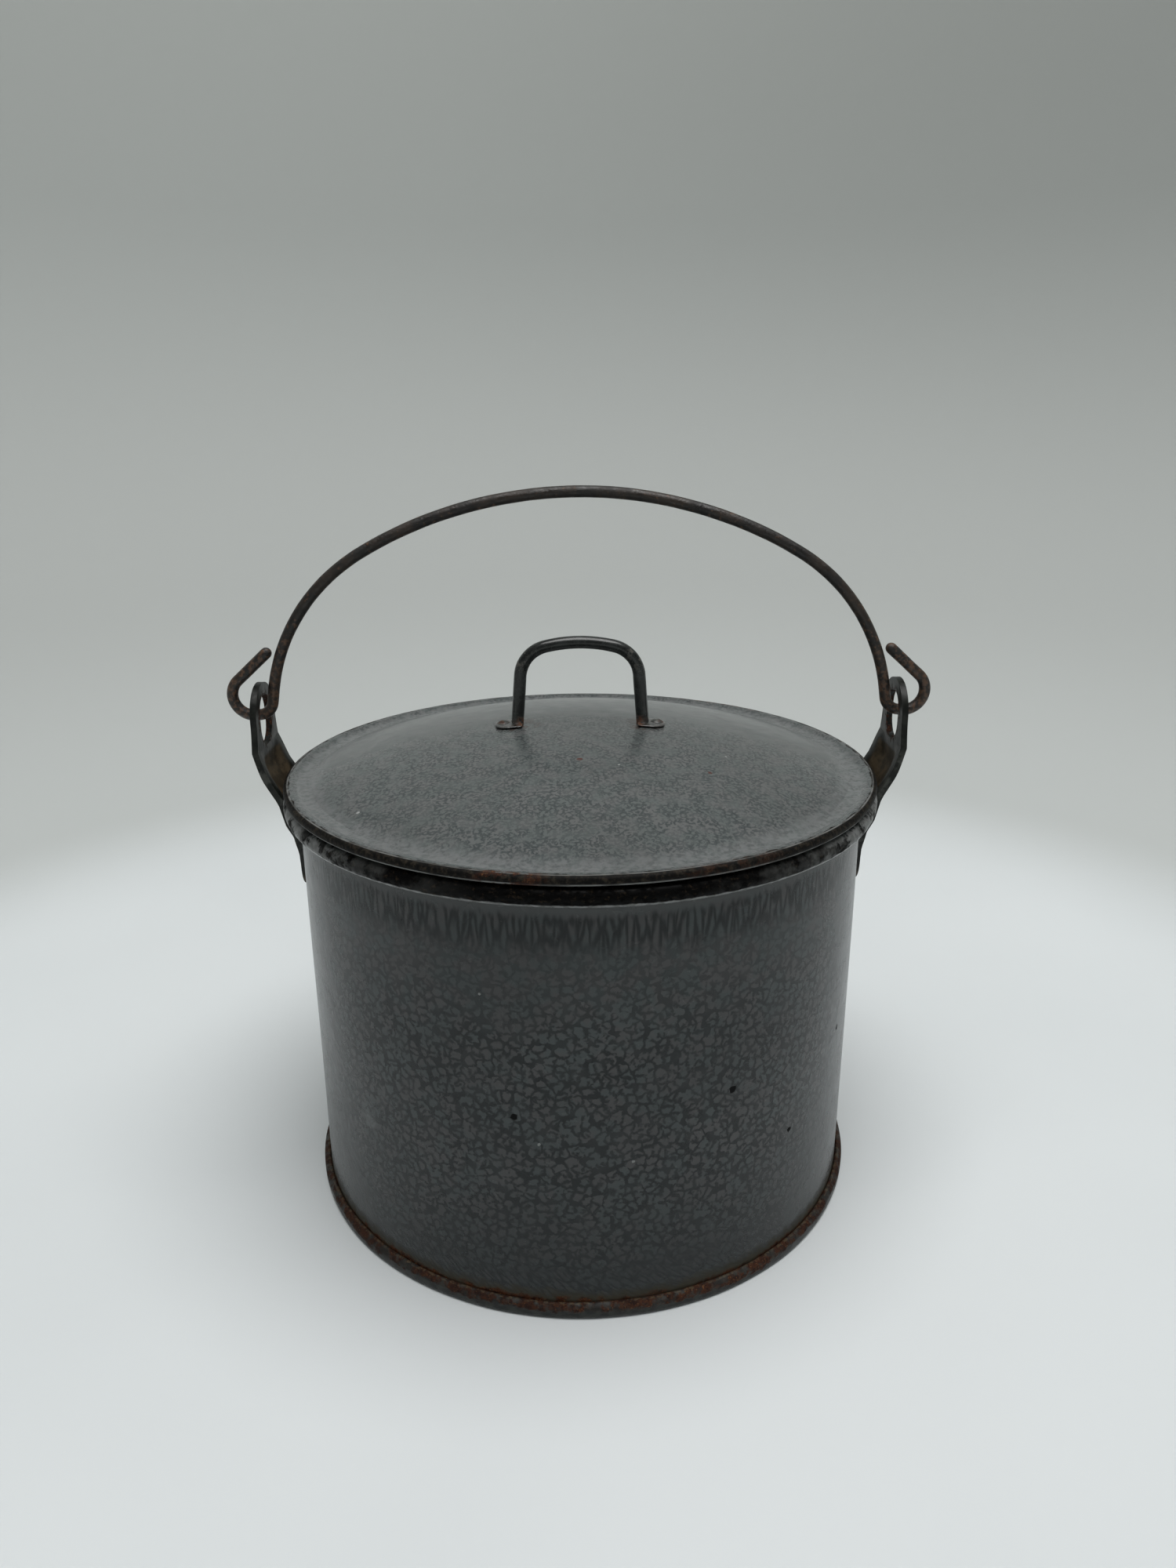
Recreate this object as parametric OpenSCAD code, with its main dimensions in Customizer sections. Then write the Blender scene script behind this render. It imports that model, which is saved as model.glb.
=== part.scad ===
// Covered enamelled pail: seamed sheet pail, two riveted ears, a hooked wire bail
// and a domed lid with a bent rod handle.
// The pail stands on z = 0 with its axis on Z. The bail hangs in the XZ plane.

/* [Pail] */
// Inside diameter of the straight wall
bore_d = 152.4; // [148:0.1:156]
// Thickness of the enamelled wall sheet
sheet_t = 1.1; // [0.9:0.05:1.2]
// Height of the rolled rim's centre above the ground
rim_z = 114.3; // [112:0.1:114.5]
// Diameter of the wire rolled into the rim
rim_wire_d = 2.9; // [2.4:0.1:3]

/* [Base] */
// Thickness of the base sheet
base_t = 1; // [0.8:0.05:1]
// Height of the base panel's middle, inside the foot seam
panel_z = 2.7; // [2.4:0.1:3]
// Height of the foot seam's upper end, measured on the middle of its sheet
foot_z = 3.75; // [3.6:0.05:4]

/* [Ears] */
// Thickness of the ear plates
ear_t = 1.7; // [1.4:0.1:1.8]
// Radius from the pail's axis to the middle of the upright eye
eye_r = 87.75; // [87.5:0.05:88]
// Height where the plate bends upright into the eye
eye_bend_z = 119.5; // [119:0.1:120]
// Width of the eye
eye_w = 18.5; // [17.5:0.1:19.5]
// Width of the hole that the bail hooks into
hole_w = 10.7; // [10:0.1:11]
// Height of the hole
hole_h = 14; // [13:0.1:14.5]
// Diameter of the ear rivets' shanks
ear_rivet_d = 3.2; // [2.8:0.1:3.6]

/* [Bail] */
// Diameter of the bail wire
bail_d = 3.2; // [3:0.1:3.3]
// Height of the wire's centre line at the crown
bail_top = 193.3; // [193:0.1:194]
// Radius of the crown's centre line
crown_r = 116; // [115:0.5:117]

/* [Lid] */
// Thickness of the lid sheet
lid_t = 0.9; // [0.8:0.05:1]
// Radius to the outside of the lid's rolled edge
lid_r = 81; // [80.8:0.1:81.2]
// Height of the dome's top
dome_top = 131.2; // [131:0.1:131.4]
// Radius of the dome's outer sphere
dome_r = 226; // [224:1:228]
// Depth of the collar that goes into the pail's mouth
collar_h = 7; // [5:0.5:7]

/* [Lid handle] */
// Diameter of the rod that the handle is bent from
rod_d = 3.6; // [3.2:0.1:4]
// Width of the flattened feet
foot_w = 8.3; // [7:0.1:9]
// Thickness of the flattened feet
foot_t = 1; // [0.8:0.1:1.1]

/* [Hidden] */
$fn = 96;
WIRE_FN = 32;
CORNER_STEPS = 6;
ARC_STEP = 3;

GREY_ENAMEL = "#6b7276";
PALE_ENAMEL = "#868c8d";
DARK_ENAMEL = "#33372f";
RUSTY_IRON = "#2e2622";
WORN_STEEL = "#6a6158";

bore_r = bore_d / 2;
wall_r = bore_r + sheet_t;
wall_mid = bore_r + sheet_t / 2;
rim_wire_r = rim_wire_d / 2;
bead_tube_r = rim_wire_r + sheet_t;
bead_r = bore_r + bead_tube_r;
play = 0.05;

// The side seam's lap stands out from the wall along the back.
lap_w = 6;
lap_t = 0.6;
lap_low = 6;
lap_high = 108;

// The wall's flange lies on the base sheet, which is folded up and over it.
flange_z = base_t + play + sheet_t / 2;
flange_reach = 1.5;
flange_bend_r = 1;
seam_gap = 0.1;
seam_r = wall_mid + flange_reach + seam_gap + base_t / 2;
seam_in_r = wall_r + 0.6;
seam_bend_z = foot_z - 0.75;
chuck_r = bore_r - seam_gap - base_t / 2;
base_bend_rs = [0, 0.7, 0.7, 0.8, 0.6, 0];

tab_r = wall_r + play + ear_t / 2;
tab_low = 84.5;
tab_round = 8.5;
tab_lean = 0.8;
tab_lean_z = 97;
tab_bend_z = 102.6;
ear_top = 143.2;
ear_bend_r = 3.5;
flare_w = 23;
rivet_z = 94;
rivet_turn = 3.6;
tail_share = 0.75;
ear_head_r = 3.1;
ear_head_h = 0.6;
ear_grip = ear_t + sheet_t + 3 * play;
ear_cut = 30;
hole_top = 140;

crown_half = 30;
shoulder_r = 53;
shoulder_turn = 50;
leg_l = 3.6;
toe_r = 4;
toe_turn = 72;
toe_l = 1;
hook_r = 5.6;
hook_turn = 146;
tail_l = 11.2;
wire_step = 0.02;
wire_lap = 0.1;

dome_z = dome_top - dome_r;
dome_slope = 18.6;
channel_z = 118.4;
curl_r = 1.3;
curl_z = 118.4;
curl_mid = curl_r - lid_t / 2;
edge_r = lid_r - curl_r;
collar_gap = 1;
collar_r = bore_r - collar_gap - lid_t / 2;
collar_flange = 2;
collar_bend_r = 0.6;
flat_r = 0.5;
channel_r = 76.9;
curl_in_r = 78.6;
channel_bend_r = 5;
rise_bend_r = 2;
edge_bend_r = 1.5;

arch_top = 153.67;
arch_r = 40;
arch_half = 13.6;
arch_corner_r = 9;
arch_corner_turn = 71.8;
arch_leg_l = 13.36;
foot_in = 15.9;
foot_out = 23.6;
foot_in_z = 131.2;
foot_out_z = 130.58;
handle_rivet_x = 21.2;
handle_rivet_r = 1.1;
handle_head_r = 1.8;
handle_head_h = 0.7;
drill_l = 10;
foot_drill_l = 2.5;
handle_rivet_tilt = asin(handle_rivet_x / dome_r);

// Direction from one point to the next, in degrees.
function heading(a, b) = atan2(b[1] - a[1], b[0] - a[0]);

// The smallest signed angle from one direction to another.
function turn(from, to) = (to - from + 540) % 360 - 180;

// A path's corner as an arc that is tangent to both of its sides.
function corner(before, tip, after, r) =
    let (h0 = heading(before, tip),
         swing = turn(h0, heading(tip, after)),
         steps = max(CORNER_STEPS, ceil(r * abs(swing) * PI / 180 / ARC_STEP)),
         side = sign(swing),
         start = tip - r * tan(abs(swing) / 2) * [cos(h0), sin(h0)],
         centre = start + side * r * [-sin(h0), cos(h0)])
    [for (i = [0:steps])
        centre + side * r * [sin(h0 + swing * i / steps), -cos(h0 + swing * i / steps)]];

// An open path with each inner corner rounded to its own radius.
function rounded(points, radii) = [
    points[0],
    for (i = [1:len(points) - 2]) each corner(points[i - 1], points[i], points[i + 1], radii[i]),
    points[len(points) - 1]
];

// One point of a path, moved sideways so that strips keep their thickness at corners.
function moved(path, i, d) =
    let (last = len(path) - 1,
         h_in = heading(path[max(i - 1, 0)], path[max(i, 1)]),
         h_out = heading(path[min(i, last - 1)], path[min(i + 1, last)]),
         half = turn(h_in, h_out) / 2)
    path[i] + d / cos(half) * [-sin(h_in + half), cos(h_in + half)];

// The outline of a sheet of thickness t whose middle follows the path.
function sheet(path, t) = concat(
    [for (i = [0:len(path) - 1]) moved(path, i, t / 2)],
    [for (i = [len(path) - 1:-1:0]) moved(path, i, -t / 2)]
);

// A rivet whose outer head sits on z = 0, with its grip and its inner head below.
module rivet(shank_r, grip, head_r, head_h) {
    ball_r = (head_r * head_r + head_h * head_h) / (2 * head_h);
    tail_h = head_h * tail_share;
    translate([0, 0, -grip - tail_h])
        cylinder(r = shank_r, h = grip + tail_h + head_h / 2);
    intersection() {
        cylinder(r = head_r, h = head_h);
        translate([0, 0, head_h - ball_r]) sphere(r = ball_r);
    }
    translate([0, 0, -grip - tail_h]) cylinder(r = head_r, h = tail_h);
}

// Puts a child, drawn along +Z, on an ear's outer face. side is -1 left or 1 right,
// end is -1 front or 1 rear.
module at_ear_rivet(side, end) {
    rotate([0, 0, (side > 0 ? 0 : 180) + side * end * rivet_turn])
        translate([tab_r + ear_t / 2, 0, rivet_z])
            rotate([0, 90, 0]) children();
}

// Puts a child, drawn along +Z, on the dome where a handle foot is riveted.
module at_handle_rivet(side) {
    translate([0, 0, dome_z])
        rotate([0, side * handle_rivet_tilt, 0])
            translate([0, 0, dome_r]) children();
}

module ear_rivet(side, end) {
    color(WORN_STEEL)
        at_ear_rivet(side, end)
            rivet(ear_rivet_d / 2, ear_grip, ear_head_r, ear_head_h);
}

// Clearance holes for an ear's two rivets.
module ear_rivet_holes(side) {
    for (end = [-1, 1])
        at_ear_rivet(side, end)
            translate([0, 0, -10]) cylinder(r = ear_rivet_d / 2 + play, h = 20);
}

// The wall: a rolled sheet with a flange below, a wired bead above and a lap at the back.
module pot_wall() {
    wall_path = rounded([[wall_mid, rim_z], [wall_mid, flange_z], [wall_mid + flange_reach, flange_z]],
                        [0, flange_bend_r, 0]);
    color(GREY_ENAMEL)
        difference() {
            union() {
                rotate_extrude() union() {
                    polygon(sheet(wall_path, sheet_t));
                    translate([bead_r, rim_z]) circle(r = bead_tube_r, $fn = WIRE_FN);
                }
                intersection() {
                    difference() {
                        cylinder(r = wall_r + lap_t, h = lap_high);
                        translate([0, 0, -1]) cylinder(r = wall_mid, h = lap_high + 2);
                    }
                    translate([-lap_w / 2, 0, lap_low]) cube([lap_w, wall_r + 5, lap_high - lap_low]);
                }
            }
            rotate_extrude() translate([bead_r, rim_z]) circle(r = rim_wire_r, $fn = WIRE_FN);
            for (side = [-1, 1]) ear_rivet_holes(side);
        }
}

module rim_wire() {
    color(WORN_STEEL)
        rotate_extrude() translate([bead_r, rim_z]) circle(r = rim_wire_r - play, $fn = WIRE_FN);
}

// The base: a panel set up inside the foot, folded round the wall's flange.
module base_disc() {
    base_path = rounded([[0, panel_z], [chuck_r, panel_z], [chuck_r, base_t / 2],
                         [seam_r, base_t / 2], [seam_r, seam_bend_z], [seam_in_r, foot_z]],
                        base_bend_rs);
    color(GREY_ENAMEL) rotate_extrude() polygon(sheet(base_path, base_t));
}

// Outline of an ear, flattened: x is across it and y is its height.
module ear_outline() {
    round_z = tab_low + tab_round;
    eye_z = ear_top - eye_w / 2;
    translate([0, eye_z]) circle(d = eye_w);
    translate([0, round_z]) circle(r = tab_round);
    polygon([[-eye_w / 2, eye_z], [-flare_w / 2, eye_bend_z], [-flare_w / 2, tab_bend_z],
             [-tab_round, round_z], [tab_round, round_z], [flare_w / 2, tab_bend_z],
             [flare_w / 2, eye_bend_z], [eye_w / 2, eye_z]]);
}

// Slot in the eye: round ends joined by straight sides.
module ear_slot() {
    slot_span = hole_h - hole_w;
    for (drop = [0, slot_span])
        translate([0, hole_top - hole_w / 2 - drop]) circle(d = hole_w);
    translate([-hole_w / 2, hole_top - hole_w / 2 - slot_span]) square([hole_w, slot_span]);
}

// The ear at +X: a riveted tab, a slanted step over the bead and an upright eye.
module ear() {
    ear_path = rounded([[tab_r, tab_low - 5], [tab_r, tab_lean_z], [tab_r + tab_lean, tab_bend_z],
                        [eye_r, eye_bend_z], [eye_r, ear_top + 5]],
                       [0, ear_bend_r, ear_bend_r, ear_bend_r, 0]);
    difference() {
        intersection() {
            rotate_extrude() polygon(sheet(ear_path, ear_t));
            translate([tab_r - tab_round, 0, 0])
                rotate([90, 0, 90]) linear_extrude(height = ear_cut) ear_outline();
        }
        translate([tab_r, 0, 0]) rotate([90, 0, 90]) linear_extrude(height = ear_cut) ear_slot();
        ear_rivet_holes(1);
    }
}

module right_ear() {
    color(DARK_ENAMEL) ear();
}

module left_ear() {
    color(DARK_ENAMEL) mirror([1, 0, 0]) ear();
}

// An arc of round wire about the origin, from one angle to another, with a lap at each end.
module wire_arc(r, from, to, d) {
    lap = wire_lap / r * 180 / PI;
    rotate([0, 0, from - lap])
        rotate_extrude(angle = to - from + 2 * lap)
            translate([r, 0]) circle(d = d, $fn = WIRE_FN);
}

// A round wire that starts at the origin along +X and stays in the XY plane.
// A leg [length] is straight; a leg [radius, turn] bends, to the right if turn > 0.
// Every second stretch is a hair thinner and laps into its neighbours.
module wire(legs, thick, ball, i = 0) {
    d = thick - (i % 2 == 0 ? wire_step : 0);
    if (i == len(legs)) {
        if (ball)
            translate([-wire_lap, 0, 0]) sphere(d = d, $fn = WIRE_FN);
    } else if (len(legs[i]) == 1) {
        translate([-wire_lap, 0, 0])
            rotate([0, 90, 0]) cylinder(d = d, h = legs[i][0] + 2 * wire_lap, $fn = WIRE_FN);
        translate([legs[i][0], 0, 0]) wire(legs, thick, ball, i + 1);
    } else {
        r = legs[i][0];
        bend = legs[i][1];
        side = sign(bend);
        translate([0, -side * r, 0])
            wire_arc(r, side > 0 ? 90 - bend : -90, side > 0 ? 90 : -90 - bend, d);
        translate([r * sin(abs(bend)), -side * r * (1 - cos(bend)), 0])
            rotate([0, 0, -bend]) wire(legs, thick, ball, i + 1);
    }
}

// A wire arch in the XZ plane: a crown arc of radius r about the axis, up to top,
// and the same legs on both sides.
module arch(top, r, half, legs, thick, ball) {
    rotate([90, 0, 0])
        translate([0, top - r, 0]) {
            wire_arc(r, 90 - half, 90 + half, thick);
            for (side = [0, 1])
                mirror([side, 0, 0])
                    rotate([0, 0, -half])
                        translate([0, r, 0]) wire(legs, thick, ball);
        }
}

// The bail: a crown arc, then on each side a shoulder, a leg, a toe through the ear
// and a hook that comes back up towards the leg.
module bail() {
    half_legs = [[shoulder_r, shoulder_turn], [leg_l], [toe_r, -toe_turn],
                 [toe_l], [hook_r, -hook_turn], [tail_l]];
    color(RUSTY_IRON) arch(bail_top, crown_r, crown_half, half_legs, bail_d, true);
}

// The lid: a domed sheet with a shallow channel and an edge curled down and in.
module lid() {
    dome_mid = dome_top - lid_t / 2;
    dome_tip = (dome_r - lid_t / 2) * tan(dome_slope / 2) + flat_r;
    channel_in = dome_tip + (dome_mid - channel_z) / tan(dome_slope);
    lid_path = concat(
        rounded([[0, dome_mid], [dome_tip, dome_mid], [channel_in, channel_z], [channel_r, channel_z],
                 [curl_in_r, curl_z + curl_mid], [edge_r, curl_z + curl_mid]],
                [0, dome_r - lid_t / 2, channel_bend_r, rise_bend_r, edge_bend_r, 0]),
        [for (a = [60:-30:-120]) [edge_r, curl_z] + curl_mid * [cos(a), sin(a)]]
    );
    color(PALE_ENAMEL)
        difference() {
            rotate_extrude() polygon(sheet(lid_path, lid_t));
            for (side = [-1, 1])
                at_handle_rivet(side)
                    translate([0, 0, -drill_l / 2]) cylinder(r = handle_rivet_r + play, h = drill_l);
        }
}

// The collar: a ring with a top flange, joined under the lid's channel.
module lid_collar() {
    top_z = channel_z - lid_t - play;
    collar_path = rounded([[collar_r - collar_flange, top_z], [collar_r, top_z],
                           [collar_r, top_z - collar_h]],
                          [0, collar_bend_r, 0]);
    color(GREY_ENAMEL) rotate_extrude() polygon(sheet(collar_path, lid_t));
}

// One flattened foot of the handle at +X, with a round end.
module handle_foot() {
    foot_path = [[foot_in, foot_in_z], [foot_out, foot_out_z]];
    intersection() {
        rotate([90, 0, 0])
            linear_extrude(height = foot_w, center = true) polygon(sheet(foot_path, foot_t));
        union() {
            translate([foot_out - foot_w / 2, 0, dome_top - drill_l / 2])
                cylinder(d = foot_w, h = drill_l);
            translate([foot_in, -foot_w / 2, dome_top - drill_l / 2])
                cube([foot_out - foot_in - foot_w / 2, foot_w, drill_l]);
        }
    }
}

// The lid's handle: a rod bent to a flat-topped arch, with a foot under each leg.
module lid_handle() {
    half_legs = [[arch_corner_r, arch_corner_turn], [arch_leg_l]];
    color(DARK_ENAMEL)
        difference() {
            union() {
                arch(arch_top, arch_r, arch_half, half_legs, rod_d, false);
                handle_foot();
                mirror([1, 0, 0]) handle_foot();
            }
            for (side = [-1, 1])
                at_handle_rivet(side)
                    translate([0, 0, -foot_t]) cylinder(r = handle_rivet_r + play, h = foot_drill_l);
        }
}

module handle_rivet(side) {
    rise = foot_t + 2 * play;
    color(WORN_STEEL)
        at_handle_rivet(side)
            translate([0, 0, rise])
                rivet(handle_rivet_r, rise + lid_t + play, handle_head_r, handle_head_h);
}

pot_wall();
rim_wire();
base_disc();
left_ear();
right_ear();
ear_rivet(-1, -1);  // left_front_rivet
ear_rivet(-1, 1);  // left_rear_rivet
ear_rivet(1, -1);  // right_front_rivet
ear_rivet(1, 1);  // right_rear_rivet
bail();
lid();
lid_collar();
lid_handle();
handle_rivet(-1);  // left_handle_rivet
handle_rivet(1);  // right_handle_rivet
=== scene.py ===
"""Looks of the covered enamelled pail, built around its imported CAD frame."""

import math

import bmesh
import bpy
from mathutils import Matrix, Vector, noise


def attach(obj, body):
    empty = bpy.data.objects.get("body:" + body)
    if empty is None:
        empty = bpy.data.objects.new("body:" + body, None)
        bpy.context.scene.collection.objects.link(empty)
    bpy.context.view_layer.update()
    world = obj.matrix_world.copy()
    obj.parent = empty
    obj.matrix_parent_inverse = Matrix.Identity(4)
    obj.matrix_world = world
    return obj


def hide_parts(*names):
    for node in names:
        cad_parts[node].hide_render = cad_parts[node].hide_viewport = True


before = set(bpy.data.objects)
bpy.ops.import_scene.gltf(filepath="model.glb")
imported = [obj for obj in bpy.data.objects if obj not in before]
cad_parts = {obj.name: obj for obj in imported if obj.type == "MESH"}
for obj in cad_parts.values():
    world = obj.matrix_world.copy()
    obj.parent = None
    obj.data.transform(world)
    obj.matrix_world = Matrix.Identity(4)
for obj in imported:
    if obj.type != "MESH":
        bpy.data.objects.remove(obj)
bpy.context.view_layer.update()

MM = 0.001

# Sizes of the frame in millimetres, as its CAD source has them, except that the bars and the handle's feet
# differ by up to 0.05.
BORE_R = 76.2
SHEET_T = 1.1
WALL_R = BORE_R + SHEET_T
RIM_Z = 114.3
BEAD_TUBE_R = 2.55
BEAD_R = BORE_R + BEAD_TUBE_R
EAR_T = 1.7
LID_T = 0.9
CURL_R = 1.3
CURL_Z = 118.4
EDGE_R = 79.7
DOME_TOP = 131.2
DOME_R = 226.0
BAIL_R = 1.58
BAIL_TOP = 193.3
CROWN_R = 116.0
CROWN_HALF = 30
TAB_R = 78.2
EYE_R = 87.75
EAR_LOW = 84.5
EAR_TOP = 143.2
TAB_HALF = 8.5
TAB_ROUND_Z = 93.0
TAB_LEAN_Z = 97.0
STEP_LOW = 102.6
STEP_TOP = 119.5
STEP_HALF = 11.5
EYE_HALF = 9.25
EYE_ROUND_Z = 133.95
SLOT_HALF = 5.35
SLOT_LOW = 126.0
SLOT_TOP = 140.0
SEAM_LOW = 6.0
SEAM_TOP = 108.0
ARCH_TOP = 153.67
ROD_R = 1.79
FOOT_IN = 15.9
FOOT_OUT = 23.6
FOOT_HALF = 4.1
FOOT_IN_Z = 131.2
FOOT_OUT_Z = 130.62

# Straights (length) and bends (radius, degrees) from the bail's crown to its hook, and from the middle of the
# handle's top down into the lid.
BAIL_LEGS = [(53.0, 50.0), (3.6,), (4.0, -72.0), (1.0,), (5.6, -146.0), (11.2,)]
HANDLE_LEGS = [(40.0, 13.6), (9.0, 71.8), (13.7,)]

# Steps round a turned sheet.
TURNS = 240


# ---------------------------------------------------------------- outlines

def heading(a, b):
    """Direction from one point to the next, in radians."""
    return math.atan2(b[1] - a[1], b[0] - a[0])


def turn(before, after):
    """The smallest signed angle from one direction to another."""
    return (after - before + 3 * math.pi) % (2 * math.pi) - math.pi


def rounded(points, radii, step=0.35):
    """An open path with its corners rounded, as close points."""
    path = [tuple(points[0])]
    for before, tip, after, r in zip(points, points[1:], points[2:], radii[1:]):
        h0 = heading(before, tip)
        swing = turn(h0, heading(tip, after))
        side = math.copysign(1, swing)
        reach = r * math.tan(abs(swing) / 2)
        cx = tip[0] - reach * math.cos(h0) - side * r * math.sin(h0)
        cy = tip[1] - reach * math.sin(h0) + side * r * math.cos(h0)
        steps = max(4, math.ceil(r * abs(swing) / max(step, r / 60)))
        for i in range(steps + 1):
            a = h0 + swing * i / steps
            path.append((cx + side * r * math.sin(a), cy - side * r * math.cos(a)))
    path.append(tuple(points[-1]))
    return path


def refined(path, step):
    """The same path with no stretch longer than step."""
    out = [path[0]]
    for a, b in zip(path, path[1:]):
        n = max(1, math.ceil(math.dist(a, b) / step))
        out += [(a[0] + (b[0] - a[0]) * i / n, a[1] + (b[1] - a[1]) * i / n) for i in range(1, n + 1)]
    return out


def arc(centre, r, angles):
    """Points round a centre at the given angles in degrees."""
    return [(centre[0] + r * math.cos(math.radians(a)), centre[1] + r * math.sin(math.radians(a)))
            for a in angles]


def eased(a, b, t):
    """A smooth change from a to b as t goes from 0 to 1."""
    return a + (b - a) * t * t * (3 - 2 * t)


def offset(path, d):
    """The path moved sideways by d, to its left."""
    out = []
    last = len(path) - 1
    for i, p in enumerate(path):
        h_in = heading(path[max(i - 1, 0)], path[max(i, 1)])
        h_out = heading(path[min(i, last - 1)], path[min(i + 1, last)])
        half = turn(h_in, h_out) / 2
        a = h_in + half
        out.append((p[0] - d / math.cos(half) * math.sin(a), p[1] + d / math.cos(half) * math.cos(a)))
    return out


def sheet_section(path, t):
    """A closed outline of a sheet of thickness t about a path, with its ends rounded over."""
    left = offset(path, t / 2)
    right = offset(path, -t / 2)

    def cap(centre, direction):
        return [(centre[0] + t / 2 * math.cos(direction + math.radians(a)),
                 centre[1] + t / 2 * math.sin(direction + math.radians(a))) for a in (55, 20, -20, -55)]

    end = cap(path[-1], heading(path[-2], path[-1]))
    start = cap(path[0], heading(path[1], path[0])) if path[0][0] > 0.01 else []
    return left + end + right[::-1] + start


# ---------------------------------------------------------------- meshes

def make(name, verts, faces, body, replaced, material, sharp=40):
    """A piece of the given mesh that rides on a body in place of CAD nodes, creased above sharp degrees."""
    mesh = bpy.data.meshes.new(name)
    mesh.from_pydata([tuple(c * MM for c in v) for v in verts], [], faces)
    bm = bmesh.new()
    bm.from_mesh(mesh)
    bmesh.ops.remove_doubles(bm, verts=bm.verts, dist=0.002 * MM)
    bmesh.ops.recalc_face_normals(bm, faces=bm.faces)
    for f in bm.faces:
        f.smooth = True
    for e in bm.edges:
        e.smooth = len(e.link_faces) == 2 and e.calc_face_angle() < math.radians(sharp)
    bm.to_mesh(mesh)
    bm.free()
    piece = bpy.data.objects.new(name, mesh)
    bpy.context.scene.collection.objects.link(piece)
    mesh.materials.append(material)
    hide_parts(*replaced)
    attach(piece, body)
    return piece


def wobble(x, y, z, size, seed):
    """Smooth unevenness between -1 and 1, in waves of about size millimetres."""
    return noise.noise(Vector((x / size + seed, y / size, z / size)))


def lathe(section, segments, uneven):
    """Turns a closed section round Z. uneven(r, z, angle) gives the outward and the upward shift."""
    verts, faces = [], []
    n = len(section)
    for k in range(segments):
        a = 2 * math.pi * k / segments
        for r, z in section:
            dr, dz = uneven(r, z, a)
            r = max(r + dr, 0) if r > 0.01 else 0
            verts.append((r * math.sin(a), -r * math.cos(a), z + dz))
    for k in range(segments):
        k2 = (k + 1) % segments
        for i in range(n):
            j = (i + 1) % n
            quad = [k * n + i, k2 * n + i, k2 * n + j, k * n + j]
            if section[i][0] > 0.01 or section[j][0] > 0.01:
                faces.append(quad)
    return verts, faces


def tube(path, radius, ring=20):
    """A round bar along a path in the XZ plane, with rounded ends."""
    verts, faces = [], []
    last = len(path) - 1
    rows = []
    for i, p in enumerate(path):
        h = heading(path[max(i - 1, 0)], path[min(i + 1, last)])
        rows.append((p, h, radius))
    ends = []
    for p, h, r in (rows[0], rows[-1]):
        sign = -1 if p == rows[0][0] else 1
        dome = []
        for a in (25, 48, 66, 80):
            a = math.radians(a)
            reach = sign * r * math.sin(a)
            q = (p[0] + reach * math.cos(h), p[1] + reach * math.sin(h))
            dome.append((q, h, r * math.cos(a)))
        ends.append(dome)
    rows = ends[0][::-1] + rows + ends[1]
    for p, h, r in rows:
        for k in range(ring):
            a = 2 * math.pi * k / ring
            lump = 1 - 0.03 + 0.03 * wobble(p[0], 9 * math.cos(a), p[1], 6, 3)
            side = r * lump * math.cos(a)
            y = r * lump * math.sin(a)
            verts.append((p[0] - side * math.sin(h), y, p[1] + side * math.cos(h)))
    n = len(rows)
    for i in range(n - 1):
        for k in range(ring):
            k2 = (k + 1) % ring
            faces.append([i * ring + k, i * ring + k2, (i + 1) * ring + k2, (i + 1) * ring + k])
    faces.append(list(range(ring)))
    faces.append([(n - 1) * ring + k for k in reversed(range(ring))])
    return verts, faces


def turtle(start, direction, legs, step=0.5):
    """Points of a path made of legs: (length) runs straight, (radius, degrees) bends right."""
    x, y = start
    h = direction
    path = [start]
    for leg in legs:
        if len(leg) == 1:
            n = max(1, math.ceil(leg[0] / step))
            for _ in range(n):
                x += leg[0] / n * math.cos(h)
                y += leg[0] / n * math.sin(h)
                path.append((x, y))
        else:
            bend = math.radians(leg[1])
            n = max(6, math.ceil(leg[0] * abs(bend) / step))
            chord = 2 * leg[0] * math.sin(abs(bend) / n / 2)
            for _ in range(n):
                h -= bend / n / 2
                x += chord * math.cos(h)
                y += chord * math.sin(h)
                h -= bend / n / 2
                path.append((x, y))
    return path


# ---------------------------------------------------------------- materials

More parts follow.
